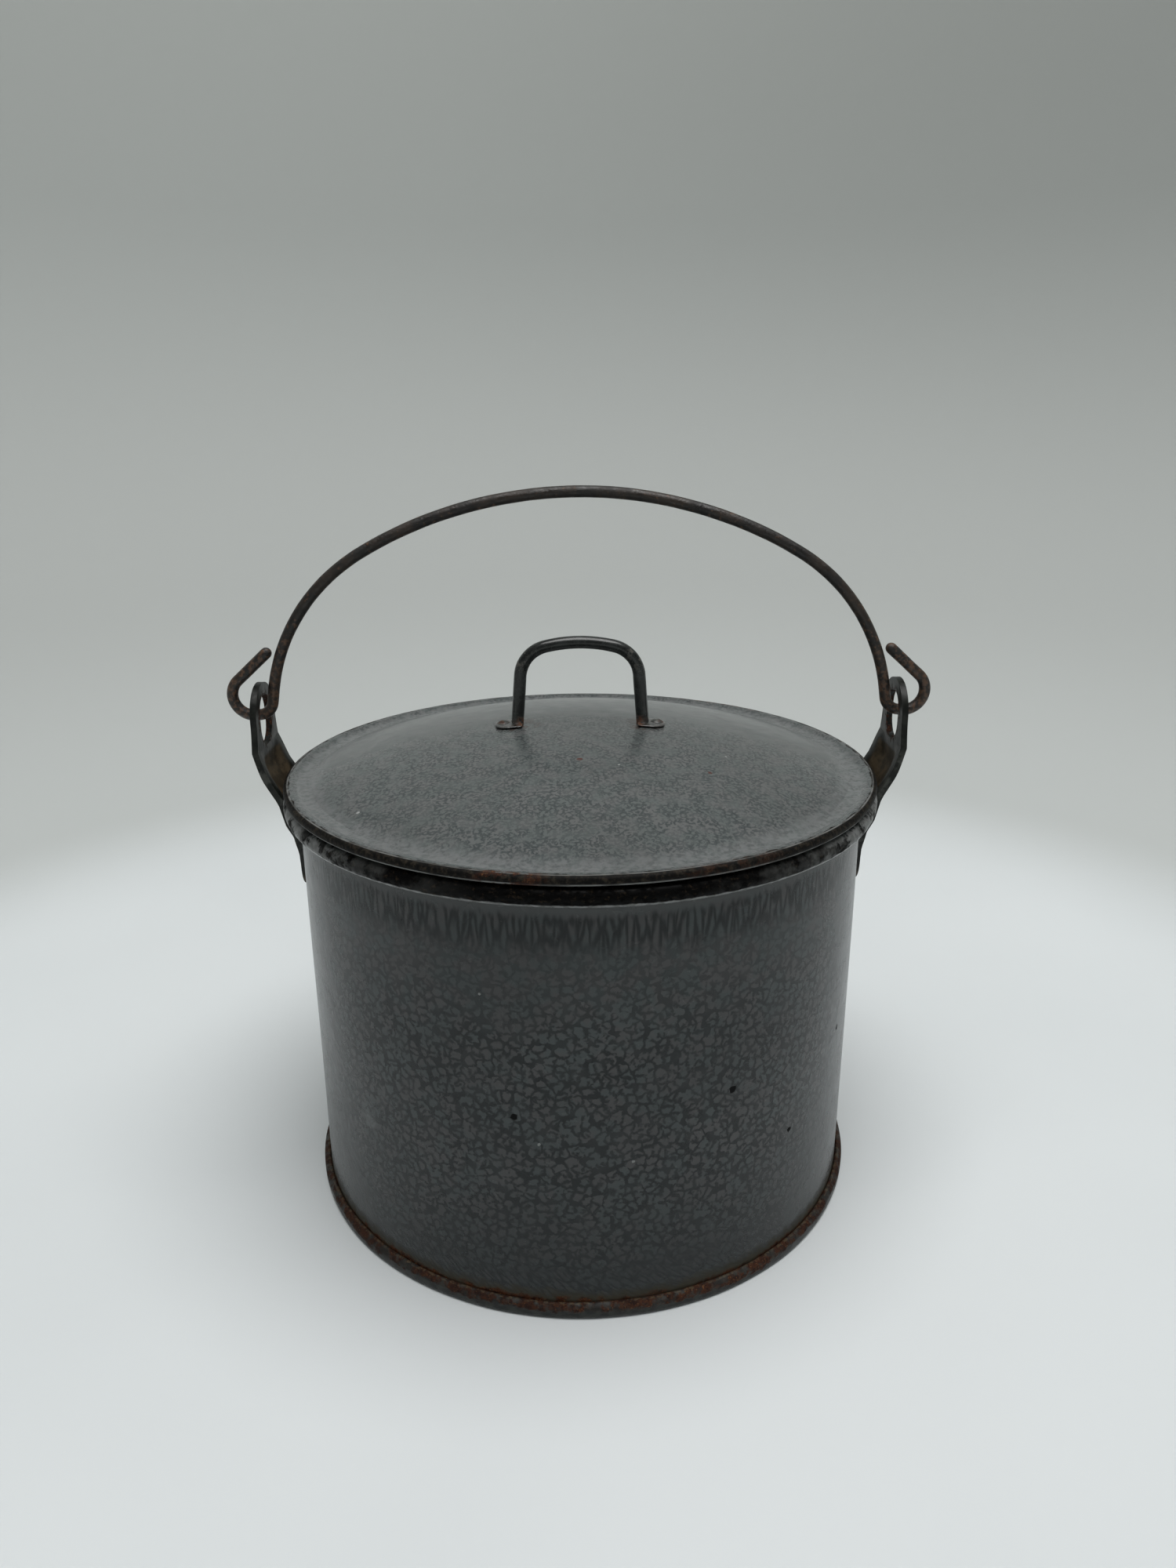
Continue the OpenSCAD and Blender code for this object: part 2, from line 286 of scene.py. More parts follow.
class Graph:
    """One procedural material. Lengths inside it are in millimetres of the frame."""

    def __init__(self, name, metallic=0.0, coat=0.0, ior=1.5):
        self.material = bpy.data.materials.new(name)
        self.material.use_nodes = True
        self.tree = self.material.node_tree
        self.shader = self.tree.nodes["Principled BSDF"]
        self.shader.inputs["Metallic"].default_value = metallic
        self.shader.inputs["IOR"].default_value = ior
        self.shader.inputs["Coat Weight"].default_value = coat
        self.shader.inputs["Coat Roughness"].default_value = 0.12
        where = self.tree.nodes.new("ShaderNodeTexCoord")
        self.mm = self.vector("SCALE", where.outputs["Object"], scale=1 / MM)
        self.x, self.y, self.z = self.split(self.mm)

    def put(self, socket, value):
        """Links a socket to an output, or sets it to a plain value."""
        if isinstance(value, bpy.types.NodeSocket):
            self.tree.links.new(value, socket)
        else:
            socket.default_value = value

    def vector(self, operation, a, b=None, scale=None):
        """One vector operation. A length or a distance comes out as a value."""
        node = self.tree.nodes.new("ShaderNodeVectorMath")
        node.operation = operation
        self.put(node.inputs[0], a)
        if b is not None:
            self.put(node.inputs[1], b)
        if scale is not None:
            self.put(node.inputs["Scale"], scale)
        return node.outputs["Value" if operation in ("LENGTH", "DISTANCE") else "Vector"]

    def split(self, vector):
        node = self.tree.nodes.new("ShaderNodeSeparateXYZ")
        self.put(node.inputs[0], vector)
        return node.outputs[0], node.outputs[1], node.outputs[2]

    def join(self, x, y, z=0.0):
        node = self.tree.nodes.new("ShaderNodeCombineXYZ")
        for socket, value in zip(node.inputs, (x, y, z)):
            self.put(socket, value)
        return node.outputs[0]

    def math(self, operation, *values):
        node = self.tree.nodes.new("ShaderNodeMath")
        node.operation = operation
        for socket, value in zip(node.inputs, values):
            self.put(socket, value)
        return node.outputs[0]

    def plus(self, a, b):
        return self.math("ADD", a, b)

    def minus(self, a, b):
        return self.math("SUBTRACT", a, b)

    def times(self, a, b):
        return self.math("MULTIPLY", a, b)

    def absolute(self, a):
        return self.math("ABSOLUTE", a)

    def ramp(self, value, low, high, out_low=0.0, out_high=1.0):
        """A smooth step from out_low to out_high as the value goes from low to high."""
        node = self.tree.nodes.new("ShaderNodeMapRange")
        node.interpolation_type = "SMOOTHSTEP"
        for key, v in (("Value", value), ("From Min", low), ("From Max", high),
                       ("To Min", out_low), ("To Max", out_high)):
            self.put(node.inputs[key], v)
        return node.outputs[0]

    def noise(self, vector, size, detail=3.0, rough=0.5):
        """Values of about 0.3 to 0.7, in blotches of about size millimetres."""
        node = self.tree.nodes.new("ShaderNodeTexNoise")
        for key, v in (("Vector", vector), ("Scale", 1 / size), ("Detail", detail), ("Roughness", rough)):
            self.put(node.inputs[key], v)
        return node.outputs[0]

    def warped(self, vector, size, reach):
        """The place moved by up to reach / 2 millimetres, in waves of about size millimetres."""
        node = self.tree.nodes.new("ShaderNodeTexNoise")
        for key, v in (("Vector", vector), ("Scale", 1 / size), ("Detail", 2.0)):
            self.put(node.inputs[key], v)
        centred = self.vector("SUBTRACT", node.outputs["Color"], (0.5, 0.5, 0.5))
        return self.vector("ADD", vector, self.vector("SCALE", centred, scale=reach))

    def cells(self, vector, size):
        """Distance, in cell sizes, to the nearest border of irregular flat cells."""
        node = self.tree.nodes.new("ShaderNodeTexVoronoi")
        node.voronoi_dimensions = "2D"
        node.feature = "DISTANCE_TO_EDGE"
        self.put(node.inputs["Vector"], vector)
        self.put(node.inputs["Scale"], 1 / size)
        return node.outputs["Distance"]

    def blobs(self, vector, size, low, high):
        """0 inside rounded, merging blobs of about size millimetres, 1 in the web between them."""
        node = self.tree.nodes.new("ShaderNodeTexVoronoi")
        node.voronoi_dimensions = "2D"
        node.feature = "SMOOTH_F1"
        self.put(node.inputs["Vector"], vector)
        self.put(node.inputs["Scale"], 1 / size)
        self.put(node.inputs["Smoothness"], 0.35)
        return self.ramp(node.outputs["Distance"], low, high)

    def mix(self, factor, a, b):
        """Colour a where the factor is 0 and colour b where it is 1."""
        node = self.tree.nodes.new("ShaderNodeMix")
        node.data_type = "RGBA"
        node.clamp_factor = True
        self.put(node.inputs[0], factor)
        for socket, value in zip((node.inputs[6], node.inputs[7]), (a, b)):
            self.put(socket, value if isinstance(value, bpy.types.NodeSocket) else (*value, 1))
        return node.outputs[2]

    def blend(self, factor, a, b):
        """Value a where the factor is 0 and value b where it is 1."""
        node = self.tree.nodes.new("ShaderNodeMix")
        node.clamp_factor = True
        for socket, value in zip(node.inputs[:4], (factor, None, a, b)):
            if value is not None:
                self.put(socket, value)
        return node.outputs[0]

    def spot(self, vector, centre, r):
        """1 inside a ragged blot round a point, 0 outside."""
        return self.ramp(self.vector("DISTANCE", vector, centre), r * 0.75, r * 1.1, 1.0, 0.0)

    def spots(self, vector, places):
        """1 inside any of the blots given as (x, y, radius)."""
        return self.most(*(self.spot(vector, (x, y, 0), r) for x, y, r in places))

    def most(self, *values):
        """The largest of the values."""
        out = values[0]
        for v in values[1:]:
            out = self.math("MAXIMUM", out, v)
        return out

    def dull(self, mask):
        """Takes most of the mirror reflection away where the enamel is gone."""
        self.put(self.shader.inputs["Specular IOR Level"], self.blend(mask, 0.5, 0.12))

    def finish(self, color, roughness, height, depth):
        """Sets the colour, the roughness and a bump whose full height is depth millimetres."""
        self.put(self.shader.inputs["Base Color"], color)
        self.put(self.shader.inputs["Roughness"], roughness)
        bump = self.tree.nodes.new("ShaderNodeBump")
        bump.inputs["Strength"].default_value = 1.0
        bump.inputs["Distance"].default_value = depth * MM
        self.put(bump.inputs["Height"], height)
        self.put(self.shader.inputs["Normal"], bump.outputs[0])
        return self.material


RUST = (0.062, 0.022, 0.01)
DARK_RUST = (0.018, 0.007, 0.005)
GRIME = (0.035, 0.03, 0.018)
BLACK = (0.006, 0.006, 0.006)


def rust_color(g, vector):
    """Orange-brown to near-black rust."""
    grain = g.noise(vector, 1.2, 5.0, 0.65)
    tone = g.mix(g.ramp(grain, 0.36, 0.62), DARK_RUST, RUST)
    return g.mix(g.ramp(g.noise(vector, 0.5, 2.0), 0.58, 0.74), tone, (0.15, 0.068, 0.028))


def wall_enamel():
    """Mottled grey enamel in height and arc length, with its worn bead and rusty foot; the bead is painted
    pale below as a highlight and black on top partly as shade, and the wall is painted darker towards the
    foot as shade.
    """
    g = Graph("pail_wall_enamel", ior=1.36)
    angle = g.math("ARCTAN2", g.x, g.times(g.y, -1.0))
    u = g.times(angle, WALL_R)
    radius = g.vector("LENGTH", g.join(g.x, g.y))
    around = g.join(u, g.z, radius)
    ragged = g.noise(around, 5.0, 2.0)

    # Open cells over most of the wall.
    cells_at = g.warped(g.warped(g.join(u, g.z), 2.6, 3.2), 1.0, 1.0)
    border = g.times(g.ramp(g.cells(cells_at, 2.4), 0.06, 0.3, 1.0, 0.0),
                     g.ramp(g.noise(around, 1.7, 1.0), 0.36, 0.46))
    veins = g.most(border, g.blobs(cells_at, 2.4, 0.49, 0.62))
    strength = g.ramp(g.noise(around, 6.0, 1.0), 0.34, 0.58, 0.8, 1.0)
    strength = g.times(strength, g.ramp(g.z, 70.0, 99.0, 1.0, 0.45))
    veins = g.times(veins, strength)

    # Finer streaks that lean over near the foot.
    under = g.math("SMOOTH_MAX", g.minus(17.0, g.z), 0.0, 6.0)
    lean = g.join(g.minus(u, g.times(under, 0.9)),
                  g.plus(g.z, g.times(under, 0.45)))
    fine = g.ramp(g.cells(g.warped(lean, 1.8, 1.9), 1.9), 0.04, 0.32, 1.0, 0.0)
    veins = g.blend(g.ramp(g.plus(g.z, g.times(ragged, 12.0)), 12.0, 24.0), fine, veins)

    # Fingers that hang from a plain band below the bead.
    hang = g.warped(g.join(u, g.times(g.z, 0.2)), 1.8, 1.3)
    fingers = g.ramp(g.cells(hang, 1.7), 0.04, 0.36, 0.95, 0.0)
    jitter = g.times(g.noise(g.join(u, 0.0), 1.5, 1.0), 4.0)
    top = g.ramp(g.plus(g.z, jitter), 109.4, 111.4, 1.0, 0.0)
    reach = g.ramp(g.plus(g.z, g.times(g.noise(g.join(u, 0.0), 3.0, 2.0), 8.0)), 101.0, 108.0)
    veins = g.times(g.blend(reach, veins, fingers), top)

    light = g.mix(g.ramp(g.noise(around, 5.0, 2.0), 0.4, 0.6), (0.062, 0.062, 0.0625), (0.052, 0.062, 0.0625))
    light = g.mix(g.ramp(g.z, 107.5, 110.5), light, (0.076, 0.08, 0.081))
    color = g.mix(veins, light, (0.006, 0.0085, 0.009))
    color = g.mix(g.ramp(g.noise(around, 30.0, 2.0), 0.35, 0.65, 0.0, 0.25), color, (0.022, 0.0245, 0.025))

    # Painted shade: the wall is painted darker towards the foot, for the shadow close to the floor.
    color = g.mix(g.ramp(g.z, 6.0, 56.0, 0.6, 0.0), color, (0.012, 0.0145, 0.015))

    # Bead: grey below, painted pale as a painted reflection of the floor; worn brown and black on top, the
    # black partly painted shade under the lid's edge.
    bead = g.times(g.ramp(g.z, RIM_Z - 2.5, RIM_Z - 1.9), g.ramp(radius, BORE_R - 0.2, BORE_R + 0.4))
    # Painted highlight: the bead is painted a paler grey than the wall, for the pale floor reflecting in its
    # lower curve.
    lip = g.mix(g.ramp(g.noise(around, 2.0), 0.4, 0.6), (0.22, 0.226, 0.226), (0.13, 0.134, 0.13))
    color = g.mix(bead, color, lip)
    # Painted shade: the bead's top is painted near black, heaviest at the front, partly for wear and partly
    # for the shade under the lid's edge.
    crest = g.plus(g.z, g.times(g.minus(g.noise(around, 2.2, 4.0, 0.6), 0.5), 1.1))
    worn = g.times(bead, g.ramp(crest, RIM_Z - 1.6, RIM_Z - 1.2))
    front_wear_and_shade = g.ramp(g.absolute(angle), 0.55, 1.0, 1.0, 0.3)
    worn = g.times(worn, g.ramp(g.noise(around, 5.0, 5.0, 0.65), 0.44, 0.56, front_wear_and_shade, 1.0))
    bare_iron_and_shade = g.ramp(g.noise(around, 1.1, 5.0, 0.65), 0.54, 0.72)
    bare_iron_and_shade = g.mix(bare_iron_and_shade, (0.001, 0.001, 0.001), (0.026, 0.018, 0.011))
    rubbed = g.ramp(g.noise(around, 8.0, 5.0, 0.7), 0.42, 0.62, 0.0, 0.6)
    rubbed = g.times(rubbed, g.ramp(g.absolute(angle), 0.25, 0.7))
    color = g.mix(worn, color, g.mix(rubbed, bare_iron_and_shade, (0.075, 0.076, 0.073)))

    # Foot: dirt just above the seam, and rust in it.
    low = g.plus(g.z, g.times(g.minus(g.noise(around, 3.0, 4.0, 0.6), 0.5), 6.0))
    dirt = g.ramp(low, 4.6, 8.2, 1.0, 0.0)
    color = g.mix(g.times(dirt, 0.85), color, GRIME)
    foot_rust = g.times(g.ramp(low, 3.6, 5.2, 1.0, 0.0), g.ramp(g.noise(around, 11.0, 1.0), 0.38, 0.52))
    color = g.mix(foot_rust, color, rust_color(g, around))

    # Chips through to black iron, pale specks and one pale smudge.
    near = g.warped(g.join(u, g.z), 1.0, 0.9)
    chips = g.spots(near, [(-16.7, 56.6, 0.9), (37.0, 58.7, 1.1), (57.5, 38.6, 0.8), (83.0, 56.0, 0.7),
                           (-118.0, 61.0, 1.0), (171.0, 28.0, 1.3), (205.0, 74.0, 0.7)])
    color = g.mix(chips, color, BLACK)
    specks = g.spots(near, [(-10.8, 49.6, 0.45), (11.4, 44.5, 0.4), (-24.0, 88.0, 0.35), (142.0, 52.0, 0.4)])
    color = g.mix(g.times(specks, 0.6), color, (0.3, 0.31, 0.3))
    from_smudge = g.vector("DISTANCE", g.warped(g.join(u, g.z), 3.0, 3.0), (-61.0, 40.8, 0))
    smudge = g.ramp(from_smudge, 0.5, 4.0, 0.22, 0.0)
    color = g.mix(smudge, color, (0.25, 0.26, 0.26))

    inside = g.times(g.ramp(radius, BORE_R + 0.3, BORE_R + 0.5, 1.0, 0.0),
                     g.ramp(g.z, RIM_Z - 1.3, RIM_Z + 0.7, 1.0, 0.0))
    lining = g.mix(g.ramp(g.noise(around, 5.0, 3.0), 0.4, 0.6), (0.11, 0.115, 0.115), (0.08, 0.084, 0.084))
    color = g.mix(inside, color, lining)

    rough = g.plus(0.2, g.times(g.noise(around, 4.0, 3.0), 0.12))
    g.dull(g.most(worn, foot_rust, chips))
    rough = g.blend(g.most(foot_rust, g.times(dirt, 0.7), chips), rough, 0.75)
    rough = g.blend(worn, rough, g.ramp(g.noise(around, 1.5, 3.0), 0.4, 0.6, 0.35, 0.8))
    swell = g.times(g.noise(around, 9.0, 2.0), 1.2)
    rise = g.minus(swell, g.times(veins, 0.12))
    rise = g.minus(rise, g.times(chips, 1.2))
    rise = g.plus(rise, g.times(g.most(g.times(worn, 0.2), foot_rust), g.noise(around, 0.7, 4.0, 0.6)))
    return g.finish(color, rough, rise, 0.12)


def base_enamel():
    """The foot: dark worn enamel with rust in the crease and a tan upper edge."""
    g = Graph("foot_enamel", ior=1.3)
    angle = g.math("ARCTAN2", g.x, g.times(g.y, -1.0))
    u = g.times(angle, WALL_R)
    around = g.join(u, g.z, g.vector("LENGTH", g.join(g.x, g.y)))
    color = g.mix(g.ramp(g.noise(around, 2.4, 3.0), 0.4, 0.62), (0.014, 0.0155, 0.0145), (0.03, 0.032, 0.029))
    ragged = g.times(g.minus(g.noise(around, 2.2, 5.0, 0.65), 0.5), 3.6)
    heavy = g.ramp(g.noise(g.join(u, 0.0), 26.0, 1.0), 0.4, 0.6, 0.0, 1.2)
    front = g.ramp(g.absolute(g.minus(u, 26.0)), 12.0, 48.0, 0.8, 0.0)
    level = g.plus(g.plus(g.z, ragged), g.math("MAXIMUM", heavy, front))
    rust = g.times(g.ramp(level, 2.6, 3.4), g.ramp(g.noise(around, 3.5, 4.0, 0.6), 0.4, 0.54, 0.15, 1.0))
    stale = g.minus(0.42, g.times(front, 0.4))
    color = g.mix(rust, color, g.mix(stale, rust_color(g, around), (0.009, 0.004, 0.003)))
    lip = g.times(g.ramp(g.z, 3.8, 4.05), g.ramp(g.noise(around, 1.3, 4.0, 0.6), 0.46, 0.6))
    color = g.mix(g.times(lip, 0.6), color, (0.1, 0.075, 0.045))
    edge = g.plus(g.z, g.times(g.minus(g.noise(around, 1.5, 4.0), 0.5), 1.4))
    color = g.mix(g.ramp(edge, 0.3, 0.75, 0.9, 0.0), color, (0.008, 0.008, 0.009))
    rough = g.blend(rust, g.plus(0.3, g.times(g.noise(around, 3.0), 0.2)), 0.85)
    rise = g.plus(g.noise(around, 5.0, 2.0), g.times(rust, g.noise(around, 0.6, 5.0, 0.65)))
    return g.finish(color, rough, rise, 0.22)


def lid_enamel():
    """Fine grey mottle on the dome, a pale ring painted as a highlight, and a worn, curled edge with painted
    highlight lines on it.
    """
    g = Graph("lid_enamel", ior=1.46)
    radius = g.vector("LENGTH", g.join(g.x, g.y))
    flat = g.join(g.x, g.y)
    angle = g.math("ARCTAN2", g.x, g.times(g.y, -1.0))
    cells_at = g.warped(g.warped(flat, 1.6, 1.8), 0.6, 0.6)
    border = g.times(g.ramp(g.cells(cells_at, 1.45), 0.05, 0.3, 1.0, 0.0),
                     g.ramp(g.noise(g.mm, 1.0, 1.0), 0.42, 0.52))
    strokes = g.ramp(g.noise(g.warped(flat, 1.1, 1.0), 0.95, 0.5), 0.53, 0.6, 0.0, 0.8)
    veins = g.most(border, strokes)
    veins = g.times(veins, g.ramp(g.noise(flat, 5.0, 1.0), 0.34, 0.56, 0.45, 1.0))
    ragged = g.times(g.minus(g.noise(g.mm, 2.4, 4.0, 0.6), 0.5), 3.0)
    # Painted highlight: a pale ring near the edge, where the channel's fillet catches the light.
    ring_r = 73.5
    ring = g.times(g.ramp(g.plus(radius, ragged), ring_r - 4.0, ring_r - 0.5),
                   g.ramp(g.plus(radius, ragged), ring_r + 3.5, ring_r + 4.5, 1.0, 0.0))
    light = g.mix(g.ramp(g.noise(flat, 6.0, 2.0), 0.4, 0.6), (0.115, 0.119, 0.119), (0.1, 0.113, 0.111))
    color = g.mix(g.times(veins, g.minus(1.0, g.times(ring, 0.2))), light, (0.044, 0.052, 0.054))
    ring = g.times(ring, g.ramp(g.noise(g.mm, 1.6, 2.0), 0.4, 0.6, 0.25, 0.7))
    color = g.mix(ring, color, (0.17, 0.178, 0.18))
    color = g.mix(g.ramp(g.noise(flat, 34.0, 2.0), 0.35, 0.65, 0.0, 0.2), color, (0.08, 0.082, 0.08))

    edge_at = g.plus(radius, g.times(g.minus(g.noise(g.mm, 4.0, 4.0, 0.6), 0.5), 2.4))
    edge = g.times(g.ramp(edge_at, EDGE_R - 0.6, EDGE_R - 0.1), g.ramp(g.z, CURL_Z - CURL_R, CURL_Z - 0.9))
    iron = g.ramp(g.noise(g.mm, 1.1, 5.0, 0.65), 0.45, 0.66)
    iron = g.mix(iron, (0.003, 0.0028, 0.0025), (0.026, 0.021, 0.015))
    color = g.mix(edge, color, iron)
    # Painted highlights: thin pale lines along the curl's top edge and along its lower lip.
    top_highlight = g.ramp(g.absolute(g.minus(radius, EDGE_R + 0.05)), 0.1, 0.3, 0.7, 0.0)
    lip_highlight = g.ramp(g.z, CURL_Z - 0.75, CURL_Z - 0.45, 1.0, 0.0)
    highlight_lines = g.times(g.ramp(radius, EDGE_R - 0.4, EDGE_R - 0.1), g.most(top_highlight, lip_highlight))
    highlight_amount = g.ramp(g.noise(g.mm, 5.0, 2.0), 0.36, 0.56, 0.3, 1.0)
    color = g.mix(g.times(highlight_lines, highlight_amount), color, (0.19, 0.195, 0.19))
    left = g.ramp(g.absolute(g.plus(angle, 0.2)), 0.05, 0.12, 1.0, 0.0)
    right = g.ramp(g.absolute(g.minus(angle, 0.42)), 0.08, 0.2, 0.3, 0.0)
    back = g.ramp(g.absolute(g.minus(angle, 2.5)), 0.08, 0.26, 0.8, 0.0)
    rusty = g.times(g.most(left, right, back), g.ramp(edge_at, EDGE_R - 1.2, EDGE_R - 0.1))
    rusty = g.times(rusty, g.ramp(g.noise(g.mm, 2.6, 4.0, 0.6), 0.42, 0.54))
    color = g.mix(rusty, color, rust_color(g, g.mm))

    near = g.warped(flat, 1.0, 0.8)
    pits = g.spots(near, [(-0.3, -28.6, 0.8), (32.4, -32.0, 0.6), (-21.0, 40.0, 0.6)])
    color = g.mix(g.times(pits, 0.85), color, (0.075, 0.015, 0.009))
    specks = g.spots(near, [(-54.5, -42.0, 0.5), (38.0, -20.0, 0.3), (9.5, -31.5, 0.35)])
    color = g.mix(g.times(specks, 0.7), color, (0.4, 0.41, 0.4))
    from_leg = g.vector("DISTANCE", g.join(g.absolute(g.x), g.y), (17.0, 0.0, 0.0))
    foot_stain = g.times(g.ramp(from_leg, 3.0, 8.0, 1.0, 0.0), g.ramp(g.noise(g.mm, 2.6, 4.0), 0.46, 0.6))
    color = g.mix(g.times(foot_stain, 0.55), color, rust_color(g, g.mm))

    rough = g.plus(0.17, g.times(g.noise(g.mm, 4.0, 3.0), 0.12))
    g.dull(g.times(g.most(edge, rusty), g.minus(1.0, highlight_lines)))
    rough = g.blend(g.most(edge, rusty), rough, 0.6)
    rise = g.minus(g.times(g.noise(g.mm, 9.0, 2.0), 1.2), g.times(veins, 0.1))
    rise = g.plus(rise, g.times(g.most(edge, rusty), g.noise(g.mm, 0.8, 4.0, 0.6)))
    return g.finish(color, rough, rise, 0.12)


def bail_iron():
    """Black-brown iron wire, rubbed smooth, with rust in patches."""
    g = Graph("rusty_iron_wire", coat=0.0)
    patches = g.ramp(g.noise(g.mm, 9.0, 4.0, 0.6), 0.42, 0.62)
    color = g.mix(patches, (0.009, 0.0078, 0.0068), (0.026, 0.018, 0.013))
    low = g.ramp(g.z, 138.0, 172.0, 0.45, 0.58)
    grains = g.ramp(g.noise(g.mm, 1.4, 4.0, 0.6), low, g.plus(low, 0.14))
    color = g.mix(grains, color, (0.085, 0.046, 0.026))
    rough = g.ramp(g.noise(g.mm, 2.5, 4.0), 0.35, 0.65, 0.34, 0.62)
    rise = g.plus(g.noise(g.mm, 0.7, 4.0, 0.6), g.times(g.noise(g.mm, 3.5, 2.0), 1.5))
    return g.finish(color, rough, rise, 0.16)


def ear_enamel():
    """Olive-black enamel on the ears, with a brown dished inner face and rust at the hole."""
    g = Graph("ear_enamel", coat=0.0, ior=1.33)
    angle = g.math("ARCTAN2", g.y, g.absolute(g.x))
    across = g.times(angle, 82.0)
    color = g.mix(g.ramp(g.noise(g.mm, 2.4, 3.0), 0.42, 0.6), (0.005, 0.006, 0.005), (0.013, 0.0145, 0.012))
    out_x = g.absolute(g.x)
    middle = g.plus(TAB_R + 0.5, g.times(g.math("MAXIMUM", g.minus(g.z, STEP_LOW), 0.0), 0.518))
    inner = g.ramp(g.minus(out_x, g.math("MINIMUM", middle, EYE_R - 0.35)), -0.3, 0.1, 1.0, 0.0)
    ragged = g.plus(g.z, g.times(g.minus(g.noise(g.mm, 2.0, 3.0), 0.5), 1.6))
    dish = g.times(g.ramp(g.absolute(across), 7.0, 9.0, 1.0, 0.0), g.ramp(ragged, 123.0, 124.0, 1.0, 0.0))
    dish = g.times(dish, inner)
    brown = g.mix(g.ramp(g.noise(g.mm, 2.6, 3.0), 0.4, 0.62), (0.03, 0.022, 0.012), (0.066, 0.048, 0.027))
    color = g.mix(dish, color, brown)
    from_hole = g.minus(g.z, (SLOT_LOW + SLOT_TOP) / 2)
    hole = g.vector("DISTANCE", g.join(across, g.times(from_hole, 0.85)), (0.0, 0.0, 0.0))
    near_hole = g.ramp(hole, 5.7, 7.4, 1.0, 0.0)
    rust = g.times(near_hole, g.ramp(g.noise(g.mm, 1.6, 4.0, 0.6), 0.47, 0.56))
    color = g.mix(rust, color, rust_color(g, g.mm))
    rib = g.times(g.ramp(g.absolute(across), 9.6, 10.6), g.ramp(g.noise(g.mm, 3.0, 3.0), 0.46, 0.6))
    color = g.mix(g.times(rib, 0.5), color, (0.085, 0.088, 0.078))
    rough = g.blend(g.most(rust, g.times(dish, 0.6)), g.plus(0.28, g.times(g.noise(g.mm, 2.0), 0.16)), 0.8)
    rise = g.plus(g.noise(g.mm, 4.0, 2.0), g.times(rust, g.noise(g.mm, 0.6, 5.0, 0.65)))
    return g.finish(color, rough, rise, 0.2)


def handle_enamel():
    """Near-black glossy enamel on the rod, rubbed at the bends, rusty inside the feet."""
    g = Graph("handle_enamel", coat=0.12)
    color = g.mix(g.ramp(g.noise(g.mm, 2.2, 3.0), 0.4, 0.62), (0.008, 0.0095, 0.009), (0.02, 0.023, 0.022))
    bend = g.ramp(g.vector("DISTANCE", g.join(g.absolute(g.x), g.z), (15.6, 150.0, 0.0)), 2.0, 5.5, 1.0, 0.0)
    rubbed = g.times(bend, g.ramp(g.noise(g.mm, 1.6, 4.0, 0.6), 0.5, 0.62))
    color = g.mix(rubbed, color, (0.075, 0.07, 0.06))
    ragged = g.plus(g.z, g.times(g.minus(g.noise(g.mm, 1.6, 4.0), 0.5), 3.0))
    foot = g.times(g.ramp(ragged, FOOT_IN_Z + 0.3, FOOT_IN_Z + 1.1, 1.0, 0.0),
                   g.ramp(g.absolute(g.x), FOOT_IN + 2.7, FOOT_IN + 3.5))
    grey = g.mix(g.ramp(g.noise(g.mm, 1.8, 3.0), 0.4, 0.6), (0.07, 0.075, 0.074), (0.12, 0.126, 0.125))
    color = g.mix(foot, color, grey)
    low = g.ramp(ragged, FOOT_IN_Z + 1.0, FOOT_IN_Z + 2.4, 1.0, 0.0)
    inner = g.ramp(g.absolute(g.x), FOOT_IN + 0.5, FOOT_IN + 1.9, 1.0, 0.15)
    rust = g.times(g.times(low, inner), g.ramp(g.noise(g.mm, 1.8, 4.0, 0.6), 0.4, 0.5))
    color = g.mix(rust, color, g.mix(0.4, rust_color(g, g.mm), (0.13, 0.055, 0.024)))
    rough = g.blend(g.most(rust, rubbed), g.plus(0.16, g.times(g.noise(g.mm, 2.0), 0.14)), 0.7)
    rise = g.plus(g.noise(g.mm, 5.0, 2.0), g.times(rust, g.noise(g.mm, 0.6, 4.0)))
    return g.finish(color, rough, rise, 0.15)


def worn_steel():
    """Rivets and wire: dark worn metal with enamel left on it and rust."""
    g = Graph("worn_steel", coat=0.1)
    color = g.mix(g.ramp(g.noise(g.mm, 1.2, 4.0), 0.42, 0.6), (0.035, 0.037, 0.035), (0.085, 0.082, 0.075))
    rust = g.ramp(g.noise(g.mm, 1.8, 4.0, 0.6), 0.52, 0.62)
    color = g.mix(rust, color, rust_color(g, g.mm))
    rough = g.blend(rust, 0.36, 0.8)
    return g.finish(color, rough, g.noise(g.mm, 0.8, 4.0), 0.12)


def collar_enamel():
    """Plain grey enamel of the lid's collar."""
    g = Graph("collar_enamel", coat=0.3)
    color = g.mix(g.ramp(g.noise(g.mm, 4.0, 4.0, 0.6), 0.4, 0.62), (0.07, 0.074, 0.074), (0.11, 0.115, 0.115))
    rust = g.times(g.ramp(g.z, 110.3, 111.6, 1.0, 0.0), g.ramp(g.noise(g.mm, 3.0, 4.0, 0.6), 0.46, 0.56))
    color = g.mix(rust, color, rust_color(g, g.mm))
    rough = g.blend(rust, 0.28, 0.8)
    return g.finish(color, rough, g.noise(g.mm, 5.0, 3.0), 0.12)


# ---------------------------------------------------------------- pieces

def wall_uneven(r, z, a):
    """Hand-made sheet: the wall bows in and out by a few tenths and the bead waves a little."""
    x, y = 60 * math.sin(a), 60 * math.cos(a)
    dr = -0.1 + 0.1 * wobble(x, y, z, 30, 1)
    if z > RIM_Z - 4:
        return dr * 0.8, 0.12 * wobble(x, y, 0, 22, 5) - 0.08
    return dr, 0


